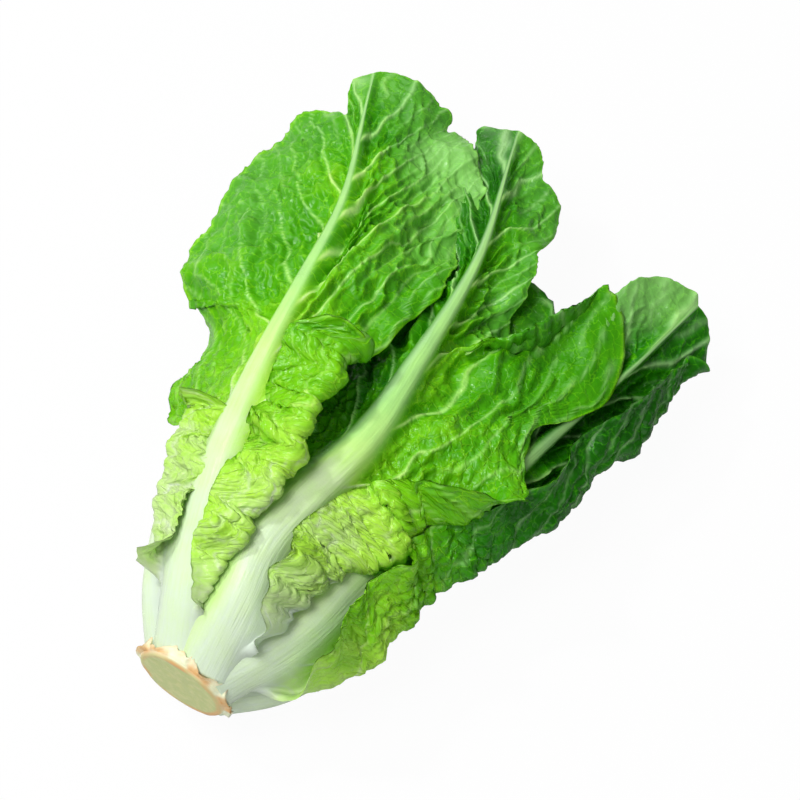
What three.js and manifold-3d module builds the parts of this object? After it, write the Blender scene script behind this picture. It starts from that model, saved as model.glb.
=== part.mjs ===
// Romaine lettuce head lying on its side: a cut stem and its leaves, each leaf one closed solid.
// Units are millimetres. +Y runs from the cut to the leaf tips, +X to the right, +Z up.
import * as THREE from "three";
import { mergeVertices } from "three/addons/utils/BufferGeometryUtils.js";
import Module from "manifold-3d";

const wasm = await Module();
wasm.setup();

// ---- driving dimensions ----
const axisHeight = 36; // stem axis above z = 0 of the leaf stations
const floorLevel = -0.2; // where the lowest leaf is pressed flat
const cutRadius = 19; // radius of the sliced face
const cutBevel = 1.2; // rounding of the sliced face's edge
const stemLength = 74;
const stemTopRadius = 3;
const bladeThickness = 1.2;
const ringThickness = 6; // rib of an outer leaf at its base
const layerGap = 2.5; // spacing of one wrapped leaf inside the next
const layeredCount = 12; // wrapped and heart leaves together
const heartCount = 4;
const firstLayerAt = 14; // where the outermost wrapped leaf leaves the stem
const air = 0.3; // between neighbours
const goldenAngle = 137.508; // from one leaf round the stem to the next, in degrees
const flankEnd = 0.3; // share of the blade's width in which it turns from the rib's flank to its own lie
const foldLength = 0.16; // share of the blade's width that a fold takes
const baseShare = 0.5; // how much of its full turn a wrapped leaf has where it leaves the stem
const baseLength = 0.3; // share of a wrapped leaf's length in which it opens to its full turn
const finerSteps = 4; // steps of the blade's path to each column of the grid

const degrees = THREE.MathUtils.degToRad;
const smooth = (x) => THREE.MathUtils.smoothstep(x, 0, 1);

// Value rows at t along monotone cubics through knots of [t, value, ...].
function along(knots, t) {
  const x = knots.map((row) => row[0]);
  const clamped = THREE.MathUtils.clamp(t, x[0], x.at(-1));
  const i = Math.min(Math.max(x.findLastIndex((value) => value <= clamped), 0), x.length - 2);
  const width = x[i + 1] - x[i];
  const s = (clamped - x[i]) / width;
  return knots[i].slice(1).map((low, c) => {
    const rise = (k) => (knots[k + 1][c + 1] - knots[k][c + 1]) / (x[k + 1] - x[k]);
    const slope = (k) => {
      if (k === 0) return rise(0);
      if (k === x.length - 1) return rise(k - 1);
      const [before, after] = [rise(k - 1), rise(k)];
      if (before * after <= 0) return 0;
      const [a, b] = [x[k] - x[k - 1], x[k + 1] - x[k]];
      return (3 * (a + b)) / ((2 * b + a) / before + (b + 2 * a) / after);
    };
    const high = knots[i + 1][c + 1];
    return (
      low * (2 * s ** 3 - 3 * s ** 2 + 1) +
      slope(i) * width * (s ** 3 - 2 * s ** 2 + s) +
      high * (3 * s ** 2 - 2 * s ** 3) +
      slope(i + 1) * width * (s ** 3 - s ** 2)
    );
  });
}

// A closed surface from a grid of outer points and the matching inner points: rows run along the leaf.
function shell(outer, inner, seam) {
  const rows = outer.length;
  const cols = outer[0].length;
  const positions = [...outer, ...inner].flat().flatMap((p) => [p.x, p.y, p.z]);
  const index = [];
  const at = (layer, r, c) => (layer * rows + r) * cols + c;
  const quad = (a, b, c, d) => index.push(a, b, c, a, c, d);
  for (let r = 0; r < rows - 1; r++) {
    for (let c = 0; c < cols - 1; c++) {
      quad(at(0, r, c), at(0, r, c + 1), at(0, r + 1, c + 1), at(0, r + 1, c));
      quad(at(1, r, c), at(1, r + 1, c), at(1, r + 1, c + 1), at(1, r, c + 1));
    }
  }
  for (let r = 0; r < rows - 1; r++) {
    quad(at(0, r, 0), at(0, r + 1, 0), at(1, r + 1, 0), at(1, r, 0));
    quad(at(0, r, cols - 1), at(1, r, cols - 1), at(1, r + 1, cols - 1), at(0, r + 1, cols - 1));
  }
  for (let c = 0; c < cols - 1; c++) {
    quad(at(0, 0, c), at(1, 0, c), at(1, 0, c + 1), at(0, 0, c + 1));
    if (!seam) quad(at(0, rows - 1, c), at(0, rows - 1, c + 1), at(1, rows - 1, c + 1), at(1, rows - 1, c));
  }
  const geometry = new THREE.BufferGeometry();
  geometry.setAttribute("position", new THREE.Float32BufferAttribute(positions, 3));
  geometry.setIndex(index);
  return geometry;
}

// A solid sheet from its grid of skin points, which are seen from outside the head. swell adds to both
// skins, which makes the cutter that keeps a neighbour clear. seam closes the last row on itself at the tip.
function sheet(grid, thickness, swell, seam) {
  const rows = grid.length - 1;
  const cols = grid[0].length - 1;
  const normals = grid.map((row, r) =>
    row.map((_, c) => {
      const down = grid[Math.max(r - 1, 0)][c];
      const up = grid[Math.min(r + 1, rows)][c];
      const left = grid[r][Math.max(c - 1, 0)];
      const right = grid[r][Math.min(c + 1, cols)];
      return right.clone().sub(left).cross(up.clone().sub(down)).normalize();
    }),
  );
  const outer = [];
  const inner = [];
  for (let r = 0; r <= rows; r++) {
    outer.push([]);
    inner.push([]);
    for (let c = 0; c <= cols; c++) {
      const normal = normals[r][c].clone();
      if (seam && r === rows) normal.add(normals[r][cols - c]).normalize();
      const skin = grid[r][c];
      const lifted = skin.clone().addScaledVector(normal, swell);
      const sunk = skin.clone().addScaledVector(normal, -thickness(r / rows, c / cols) - swell);
      lifted.z = Math.max(lifted.z, floorLevel);
      sunk.z = Math.max(sunk.z, floorLevel + bladeThickness);
      outer[r].push(lifted);
      inner[r].push(sunk);
    }
  }
  return solid(shell(outer, inner, seam));
}

// A big outer leaf: a rib along a spine, and on each side a blade that turns and sweeps as its stations say.
// Stations: width [t, mm]; turn [t, at the rib, further out, droop, fold, where it folds] in degrees, outwards
// positive; sweep [t, at the rib, at the margin], how far the side veins lean towards the tip.
function spreadLeaf({ spine, facing, left, right }, rows, cols, swell = 0) {
  const curve = new THREE.CatmullRomCurve3(
    spine.map((p) => new THREE.Vector3(...p)),
    false,
    "catmullrom",
    0.5,
  );
  curve.arcLengthDivisions = 400;
  const steps = cols * finerSteps;
  const stations = Array.from({ length: rows + 1 }, (_, r) => {
    const t = r / rows;
    const tangent = curve.getTangentAt(t);
    const turned = degrees(along(facing, t)[0]);
    const out = new THREE.Vector3(Math.sin(turned), 0, Math.cos(turned));
    out.addScaledVector(tangent, -out.dot(tangent)).normalize();
    const across = tangent.clone().cross(out);
    const half = (side, sign) => {
      const [width] = along(side.width, t);
      const [near, further, droop, fold, foldAt] = along(side.turn, t);
      const [leanRib, leanMargin] = along(side.sweep, t);
      const points = [curve.getPointAt(t)];
      for (let k = 0; k < steps; k++) {
        const v = (k + 0.5) / steps;
        const angle = degrees(
          near +
            (further - near) * smooth(v / flankEnd) +
            droop * smooth((v - flankEnd) / (1 - flankEnd)) +
            fold * smooth((v - foldAt) / foldLength + 0.5),
        );
        const lean = degrees(leanRib + (leanMargin - leanRib) * smooth(v));
        const step = across.clone().multiplyScalar(sign * Math.cos(angle));
        step.addScaledVector(out, Math.sin(angle)).multiplyScalar(Math.cos(lean));
        step.addScaledVector(tangent, Math.sin(lean));
        points.push(points.at(-1).clone().addScaledVector(step, width / steps));
      }
      return points.filter((_, k) => k % finerSteps === 0);
    };
    return [...half(left, -1).reverse(), ...half(right, 1).slice(1)];
  });
  const thickness = (t, u) => {
    const rib = THREE.MathUtils.lerp(ringThickness, bladeThickness, smooth(t));
    return THREE.MathUtils.lerp(rib, bladeThickness, smooth(Math.abs(u - 0.5) * cols));
  };
  return sheet(stations, thickness, swell, true);
}

// How far the layers of the head spread at y, against a round bundle: [y, sideways, up and down].
const spread = [
  [0, 1, 1],
  [60, 1.05, 0.95],
  [100, 1.3, 0.8],
  [150, 1.55, 0.8],
  [217, 1.75, 0.7],
  [260, 1.8, 0.65],
];
// The stem's radius: [y, radius].
const stemProfile = [
  [0, cutRadius],
  [10, cutRadius + 0.5],
  [30, 15],
  [55, 8],
  [stemLength, stemTopRadius],
];

// A leaf wrapped round the head in its own layer: layer 0 is the outermost of the wrapped leaves.
function wrappedLeaf({ layer, turned, halfTurn, tip, shoulder }, rows, cols, swell = 0) {
  const pitch = (stemLength - firstLayerAt) / layeredCount;
  const start = firstLayerAt + pitch * Math.max(layer, -1);
  const deep = layeredCount - layer;
  const grid = Array.from({ length: rows + 1 }, (_, r) =>
    Array.from({ length: cols + 1 }, (_, c) => {
      const t = r / rows;
      const side = (2 * c) / cols - 1;
      const y = start + (tip - shoulder * Math.abs(side) ** 2.5 - start) * t;
      const grown = THREE.MathUtils.clamp((y - start) / pitch, 0, deep);
      const radius = along(stemProfile, y)[0] + air + bladeThickness + layerGap * grown;
      const opened = THREE.MathUtils.lerp(baseShare, 1, smooth(t / baseLength));
      const angle = degrees(turned + side * halfTurn * opened);
      const [wide, high] = along(spread, y);
      const lift = radius * high * Math.cos(angle);
      return new THREE.Vector3(radius * wide * Math.sin(angle), y, axisHeight + lift);
    }),
  );
  return sheet(grid, () => bladeThickness, swell, false);
}

// A solid that can be joined and cut, from a closed geometry.
function solid(geometry) {
  const welded = mergeVertices(geometry, 0.001);
  return new wasm.Manifold(
    new wasm.Mesh({
      numProp: 3,
      vertProperties: Float32Array.from(welded.attributes.position.array),
      triVerts: Uint32Array.from(welded.index.array),
    }),
  );
}

// The stem: a short cone with the sliced face at y = 0, turned on its axis and laid along +Y.
function stemSolid(swell = 0) {
  const profile = [new THREE.Vector2(0, -swell), new THREE.Vector2(cutRadius - cutBevel + swell, -swell)];
  for (const y of [cutBevel, 5, 10, 16, 24, 34, 46, 60, stemLength]) {
    profile.push(new THREE.Vector2(along(stemProfile, y)[0] + swell, y));
  }
  profile.push(new THREE.Vector2(0, stemLength + swell));
  const geometry = new THREE.LatheGeometry(profile, 28);
  geometry.deleteAttribute("normal");
  geometry.deleteAttribute("uv");
  return solid(geometry.translate(0, 0, axisHeight));
}

// The biggest connected piece of a cut solid.
function largest(shape) {
  return shape.decompose().reduce((best, piece) => (piece.volume() > best.volume() ? piece : best));
}

const head = new THREE.Group();

// Adds a named mesh to the head, with a material of its own.
function addNode(name, shape, colour, roughness) {
  const mesh = shape.getMesh();
  const geometry = new THREE.BufferGeometry();
  geometry.setAttribute("position", new THREE.BufferAttribute(mesh.vertProperties, 3));
  geometry.setIndex(new THREE.BufferAttribute(mesh.triVerts, 1));
  geometry.computeVertexNormals();
  const material = new THREE.MeshStandardMaterial({ color: colour, roughness, metalness: 0 });
  const node = new THREE.Mesh(geometry, material);
  node.name = name;
  head.add(node);
}

addNode("stem", stemSolid(), "#ebe3bf", 0.6);

// ---- the big outer leaves, in the order in which they lie over one another ----
const spreadLeaves = {
  leaf_left: {
    spine: [
      [-7, 6, 54], [-18, 31, 71], [-31, 77, 84], [-40, 118, 87], [-48, 160, 85], [-59, 208, 78],
      [-84, 264, 65],
    ],
    facing: [[0, -24], [0.3, -28], [0.6, -22], [1, -10]],
    right: {
      width: [
        [0, 12], [0.1, 48], [0.2, 70], [0.3, 78], [0.42, 72], [0.48, 52], [0.54, 84], [0.62, 96],
        [0.75, 66], [0.88, 44], [1, 18],
      ],
      turn: [
        [0, -50, -45, 0, 0, 0.5], [0.12, -25, -10, 0, 170, 0.55], [0.3, -25, -12, 0, 175, 0.55],
        [0.42, -30, -8, 0, 165, 0.58], [0.48, -50, -30, -15, 40, 0.85], [0.54, -58, -32, -20, 0, 0.9],
        [0.66, -60, -30, -22, 0, 0.9], [0.8, -48, -28, -12, 0, 0.9], [1, -10, 0, 0, 0, 0.6],
      ],
      sweep: [
        [0, 0, 0], [0.2, 15, 20], [0.44, 35, 10], [0.52, 46, 0], [0.62, 58, 54], [0.8, 66, 66],
        [1, 90, 90],
      ],
    },
    left: {
      width: [
        [0, 12], [0.1, 30], [0.2, 54], [0.42, 62], [0.54, 90], [0.66, 112], [0.78, 92], [0.9, 40],
        [1, 18],
      ],
      turn: [
        [0, -50, -45, 0, 0, 0.5], [0.16, -30, -25, 0, 150, 0.6], [0.3, -30, -20, 0, 155, 0.62],
        [0.42, -35, -20, -20, 40, 0.8], [0.52, -35, 0, -60, 0, 0.8], [0.8, -35, 5, -35, 0, 0.8],
        [1, -10, 0, 0, 0, 0.6],
      ],
      sweep: [
        [0, 0, 0], [0.2, 15, 10], [0.42, 28, 5], [0.52, 34, -10], [0.66, 50, 46], [0.8, 60, 62],
        [1, 90, 90],
      ],
    },
  },
  leaf_middle: {
    spine: [
      [12, 8, 56], [9, 30, 72], [6, 54, 79], [9, 82, 81], [14, 116, 80], [12, 152, 79], [3, 217, 70],
      [-17, 276, 58],
    ],
    facing: [[0, 12], [1, 10]],
    right: {
      width: [
        [0, 12], [0.1, 44], [0.2, 72], [0.4, 78], [0.47, 88], [0.54, 108], [0.62, 56], [0.8, 50],
        [0.92, 32], [1, 18],
      ],
      turn: [
        [0, -50, -45, 0, 0, 0.5], [0.12, -35, -30, 0, 160, 0.5], [0.3, -35, -15, 0, 165, 0.62],
        [0.36, -40, 0, -20, 90, 0.75], [0.44, -45, 15, -50, 0, 0.8], [0.52, -50, 10, -45, 0, 0.8],
        [0.6, -55, -25, 0, 0, 0.8], [0.9, -35, -10, 0, 0, 0.6], [1, -10, 0, 0, 0, 0.6],
      ],
      sweep: [
        [0, 0, 0], [0.2, 15, 10], [0.38, 30, 0], [0.46, 40, 20], [0.54, 48, 55], [0.62, 55, 58],
        [0.8, 62, 58], [1, 90, 90],
      ],
    },
    left: {
      width: [[0, 12], [0.2, 42], [0.5, 60], [0.75, 40], [0.9, 30], [1, 18]],
      turn: [
        [0, -50, -45, 0, 0, 0.5], [0.3, -50, -20, -30, 0, 0.6], [0.75, -55, -25, 0, 0, 0.6],
        [1, -10, 0, 0, 0, 0.6],
      ],
      sweep: [[0, 0, 0], [0.2, 15, 10], [0.5, 32, 30], [0.66, 50, 46], [0.8, 60, 62], [1, 90, 90]],
    },
  },
  leaf_right: {
    spine: [
      [24, 9, 46], [35, 38, 54], [42, 74, 57], [52, 104, 58], [64, 136, 56], [71, 172, 53],
      [79, 218, 46], [82, 240, 43],
    ],
    facing: [[0, 55], [0.6, 55], [1, 40]],
    right: {
      width: [[0, 12], [0.1, 26], [0.2, 50], [0.42, 64], [0.7, 76], [0.88, 54], [1, 26]],
      turn: [
        [0, -50, -45, 0, 0, 0.5], [0.16, -30, -30, 0, 150, 0.5], [0.5, -45, -35, 0, 150, 0.5],
        [0.8, -50, -38, 0, 120, 0.55], [1, -10, 0, 0, 0, 0.6],
      ],
      sweep: [[0, 0, 0], [0.2, 15, 10], [0.5, 36, 30], [0.7, 50, 45], [0.85, 66, 60], [1, 90, 90]],
    },
    left: {
      width: [[0, 12], [0.2, 44], [0.5, 58], [0.7, 64], [0.88, 50], [1, 26]],
      turn: [
        [0, -50, -45, 0, 0, 0.5], [0.3, -50, -30, -20, 0, 0.6], [0.8, -45, -15, 0, 0, 0.6],
        [1, -10, 0, 0, 0, 0.6],
      ],
      sweep: [[0, 0, 0], [0.2, 15, 10], [0.5, 32, 30], [0.66, 50, 46], [0.8, 60, 62], [1, 90, 90]],
    },
  },
  leaf_side_right: {
    spine: [
      [19, 7, 30], [37, 28, 25], [51, 60, 21], [61, 100, 17], [70, 150, 15], [79, 200, 16],
      [86, 236, 18],
    ],
    facing: [[0, 104], [1, 116]],
    right: {
      width: [[0, 12], [0.2, 40], [0.5, 50], [0.8, 46], [1, 20]],
      turn: [[0, -45, -45, -30, 0, 0.6], [0.5, -55, -60, -30, 0, 0.6], [1, -20, -30, 0, 0, 0.6]],
      sweep: [[0, 0, 0], [0.3, 22, 20], [0.6, 45, 42], [0.8, 62, 60], [1, 90, 90]],
    },
    left: {
      width: [[0, 12], [0.2, 36], [0.5, 46], [0.8, 44], [1, 20]],
      turn: [[0, -45, -45, -30, 0, 0.6], [0.5, -45, -50, -30, 0, 0.6], [1, -20, -30, 0, 0, 0.6]],
      sweep: [[0, 0, 0], [0.3, 22, 20], [0.6, 45, 42], [0.8, 62, 60], [1, 90, 90]],
    },
  },
  leaf_side_left: {
    spine: [
      [-18, 7, 40], [-37, 30, 42], [-54, 70, 42], [-67, 112, 38], [-80, 155, 33], [-90, 198, 29],
      [-94, 232, 28],
    ],
    facing: [[0, -78], [1, -88]],
    right: {
      width: [[0, 12], [0.2, 34], [0.5, 44], [0.8, 42], [1, 20]],
      turn: [[0, -45, -45, -30, 0, 0.6], [0.5, -50, -55, -30, 0, 0.6], [1, -20, -30, 0, 0, 0.6]],
      sweep: [[0, 0, 0], [0.3, 22, 20], [0.6, 45, 42], [0.8, 62, 60], [1, 90, 90]],
    },
    left: {
      width: [[0, 12], [0.2, 40], [0.5, 50], [0.8, 46], [1, 20]],
      turn: [[0, -45, -45, -30, 0, 0.6], [0.5, -50, -60, -30, 0, 0.6], [1, -20, -30, 0, 0, 0.6]],
      sweep: [[0, 0, 0], [0.3, 22, 20], [0.6, 45, 42], [0.8, 62, 60], [1, 90, 90]],
    },
  },
};

const cutters = [stemSolid(air)];

// Adds a leaf, cut clear of every piece placed before it.
function place(name, shapeAt, colour) {
  const clear = cutters.reduce((left, cutter) => left.subtract(cutter), shapeAt(0));
  const kept = largest(clear);
  addNode(name, kept, colour, 0.45);
  cutters.push(shapeAt(air).add(kept));
}

for (const [name, leaf] of Object.entries(spreadLeaves)) {
  const big = ["leaf_left", "leaf_middle", "leaf_right"].includes(name);
  const [rows, cols] = big ? [18, 7] : [12, 5];
  place(name, (swell) => spreadLeaf(leaf, rows, cols, swell), "#57a52c");
}

// ---- the leaves that the head lies on ----
const underLeaves = {
  leaf_under_middle: { layer: -5, turned: 180, halfTurn: 58, tip: 236, shoulder: 40 },
  leaf_under_right: { layer: -3, turned: 142, halfTurn: 72, tip: 228, shoulder: 40 },
  leaf_under_left: { layer: -1.4, turned: 222, halfTurn: 74, tip: 232, shoulder: 40 },
};
for (const [name, leaf] of Object.entries(underLeaves)) {
  place(name, (swell) => wrappedLeaf(leaf, 10, 8, swell), "#4c9a2a");
}

// ---- the wrapped leaves and the heart, one layer each ----
for (let layer = 0; layer < layeredCount; layer++) {
  const inHeart = layer >= layeredCount - heartCount;
  const name = inHeart ? `leaf_heart_${layer - layeredCount + heartCount + 1}` : `leaf_wrap_${layer + 1}`;
  const leaf = {
    layer,
    turned: layer * goldenAngle,
    halfTurn: THREE.MathUtils.lerp(82, 140, layer / layeredCount),
    tip: THREE.MathUtils.lerp(252, 190, layer / layeredCount),
    shoulder: THREE.MathUtils.lerp(46, 26, layer / layeredCount),
  };
  place(name, (swell) => wrappedLeaf(leaf, 8, 6, swell), inHeart ? "#c9dc7d" : "#7dbb3f");
}

// ---- the head stands with the bottom centre of its box at the origin ----
const box = new THREE.Box3().setFromObject(head);
const middle = box.getCenter(new THREE.Vector3());
head.position.set(-middle.x, -middle.y, -box.min.z);

export default head;
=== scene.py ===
"""Romaine lettuce head lying on its side: the look of its stem and leaves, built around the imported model.

Leaf sizes are in millimetres in the head's own frame, where +Y runs from the cut to the tips, the stem's
axis is at x = 0 and z = AXIS_HEIGHT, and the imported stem's box says where that frame lies.
"""
import logging
import math
from dataclasses import dataclass
from enum import Enum

import bmesh
import bpy
import numpy as np
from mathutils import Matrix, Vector


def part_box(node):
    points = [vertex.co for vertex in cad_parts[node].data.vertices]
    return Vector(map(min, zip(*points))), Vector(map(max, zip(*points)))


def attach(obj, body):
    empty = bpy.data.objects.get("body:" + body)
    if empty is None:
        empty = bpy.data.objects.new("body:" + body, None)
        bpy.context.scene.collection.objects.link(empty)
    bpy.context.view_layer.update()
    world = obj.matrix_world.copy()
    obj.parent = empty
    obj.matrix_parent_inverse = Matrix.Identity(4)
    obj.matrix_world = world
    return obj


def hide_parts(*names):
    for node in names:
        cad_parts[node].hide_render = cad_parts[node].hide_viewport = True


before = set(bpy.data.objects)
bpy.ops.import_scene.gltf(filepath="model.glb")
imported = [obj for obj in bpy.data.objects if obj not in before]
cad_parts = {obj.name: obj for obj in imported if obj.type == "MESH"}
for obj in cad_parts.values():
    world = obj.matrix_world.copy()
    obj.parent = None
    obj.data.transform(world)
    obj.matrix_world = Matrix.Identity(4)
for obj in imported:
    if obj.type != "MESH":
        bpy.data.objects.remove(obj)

LOG = logging.getLogger("romaine")
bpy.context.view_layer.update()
MM = 0.001
AXIS_HEIGHT = 36.0  # of the stem's axis over the floor, mm
GOLDEN_ANGLE = 137.508  # from each leaf to the next round the stem, degrees
BLADE = 0.55  # a leaf's thickness between its veins, mm
FLANK_END = 0.3  # how far out, of a half blade, its turn beside the rib ends
FOLD_LENGTH = 0.16  # how much of a half blade a fold takes
RIB_ROUND = 6.0  # how far out the blade starts to turn from the rib, mm
FLAT_UNIT = 100.0  # mm to one unit of the UV map Flat
CRUMPLED_END = 0.42  # how far along the rib the crumpled part reaches
WRAPPED_COUNT = 8
HEART_COUNT = 4
LAYERS = WRAPPED_COUNT + HEART_COUNT
Colour = tuple[float, float, float, float]
Array = np.ndarray
Knots = tuple[tuple[float, ...], ...]


def along(knots: Knots, t: Array) -> Array:
    """Reads values along monotone cubics.

    Args:
        knots: rows of (t, value, ...), in rising t.
        t: where to read them.

    Returns:
        One column for each value, one row for each t.
    """
    rows = np.array(knots, float)
    x, y = rows[:, 0], rows[:, 1:]
    t = np.clip(t, x[0], x[-1])
    gap = np.diff(x)
    rise = np.diff(y, axis=0) / gap[:, None]
    slope = np.vstack([rise[:1], np.zeros((len(x) - 2, y.shape[1])), rise[-1:]])
    for k in range(1, len(x) - 1):
        before, after = rise[k - 1], rise[k]
        same = before * after > 0
        weights = (2 * gap[k] + gap[k - 1], gap[k] + 2 * gap[k - 1])
        mean = weights[0] / np.where(same, before, 1) + weights[1] / np.where(same, after, 1)
        slope[k] = np.where(same, sum(weights) / np.where(same, mean, 1), 0)
    i = np.clip(np.searchsorted(x, t, side="right") - 1, 0, len(x) - 2)
    s = ((t - x[i]) / gap[i])[:, None]
    width = gap[i][:, None]
    low = y[i] * (2 * s**3 - 3 * s**2 + 1) + slope[i] * width * (s**3 - 2 * s**2 + s)
    high = y[i + 1] * (3 * s**2 - 2 * s**3) + slope[i + 1] * width * (s**3 - s**2)
    return low + high


def smooth(x: Array) -> Array:
    """Eases x from 0 at 0 to 1 at 1."""
    x = np.clip(x, 0, 1)
    return x * x * (3 - 2 * x)


def unit(a: Array) -> Array:
    """Scales vectors to length 1."""
    return a / np.maximum(np.linalg.norm(a, axis=-1, keepdims=True), 1e-9)


@dataclass(frozen=True)
class Ripple:
    """Smooth random waves over a plane, from -1 to 1, about one wave to two units."""

    seed: int
    size: int = 64

    def at(self, x: Array, y: Array) -> Array:
        """Reads the waves.

        Args:
            x: first coordinate.
            y: second coordinate, of x's shape.

        Returns:
            The height at each point.
        """
        table = np.random.default_rng(self.seed).uniform(-1, 1, (self.size, self.size))
        i, j = np.floor(x).astype(int), np.floor(y).astype(int)
        fx, fy = smooth(x - i), smooth(y - j)
        corner = [[table[(i + a) % self.size, (j + b) % self.size] for b in (0, 1)] for a in (0, 1)]
        near = corner[0][0] * (1 - fy) + corner[0][1] * fy
        far = corner[1][0] * (1 - fy) + corner[1][1] * fy
        return near * (1 - fx) + far * fx


@dataclass(frozen=True)
class Cells:
    """A net of irregular cells over a plane, one to a unit square."""

    seed: int
    size: int = 64

    def reach(self, x: Array, y: Array) -> tuple[Array, Array]:
        """Measures to the cells' centres.

        Args:
            x: first coordinate.
            y: second coordinate, of x's shape.

        Returns:
            The distances to the nearest centre and to the next one.
        """
        table = np.random.default_rng(self.seed).uniform(0.1, 0.9, (self.size, self.size, 2))
        i, j = np.floor(x).astype(int), np.floor(y).astype(int)
        reach = []
        for a in (-1, 0, 1):
            for b in (-1, 0, 1):
                spot = table[(i + a) % self.size, (j + b) % self.size]
                reach.append(np.hypot(i + a + spot[..., 0] - x, j + b + spot[..., 1] - y))
        nearest = np.sort(np.stack(reach), axis=0)
        return nearest[0], nearest[1]

    def dome(self, x: Array, y: Array) -> Array:
        """Gives rounded blisters: 1 at a cell's middle and about 0 where cells meet."""
        first, second = self.reach(x, y)
        return (1 - np.exp(-(second - first) / 0.22)) * (1 - 0.6 * first**2)


@dataclass
class Sheet:
    """A leaf's skin as a grid, with rows from the stem to the tip and columns from left to right.

    t is the place along the rib, 0 to 1, and reach the place across, -1 to 1. flat_x and flat_y are
    where a point lies on the leaf pressed flat, mm. lean is how far the side veins lean towards the tip
    there, radians. seam says that the two margins meet in the last row.
    """

    points: Array
    t: Array
    reach: Array
    flat_x: Array
    flat_y: Array
    lean: Array
    length: float
    seam: bool

    def normals(self) -> Array:
        """Works out which way the skin faces.

        Returns:
            The outward normals, one to a point.
        """
        p = self.points
        up = np.empty_like(p)
        up[1:-1] = p[2:] - p[:-2]
        up[0], up[-1] = p[1] - p[0], p[-1] - p[-2]
        right = np.empty_like(p)
        right[:, 1:-1] = p[:, 2:] - p[:, :-2]
        right[:, 0], right[:, -1] = p[:, 1] - p[:, 0], p[:, -1] - p[:, -2]
        n = unit(np.cross(right, up))
        if self.seam:
            n[-1] = unit(n[-1] + n[-1, ::-1])
        return n


@dataclass(frozen=True)
class Side:
    """One half of a spread leaf's blade, where every row starts at t, the place along the rib from 0 to 1.

    width is in mm. turn is at the rib, further out, droop and fold, in degrees with outwards positive,
    and then where it folds. sweep is how far the side veins lean towards the tip at the rib and at the
    margin, degrees. ruffle is how far the margin waves, degrees. teeth and lobes are its fine and its
    broad cuts, mm.
    """

    width: Knots
    turn: Knots
    sweep: Knots
    ruffle: Knots = ((0, 0), (0.07, 2), (0.12, 34), (0.3, 42), (0.38, 34), (0.45, 18), (0.55, 14), (1, 10))
    teeth: Knots = ((0, 0), (0.06, 0.5), (0.1, 4.5), (0.36, 6), (0.44, 1.6), (1, 1.1))
    lobes: Knots = ((0, 0), (0.08, 0), (0.13, 5), (0.36, 5.5), (0.44, 1.5), (1, 1.2))


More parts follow.
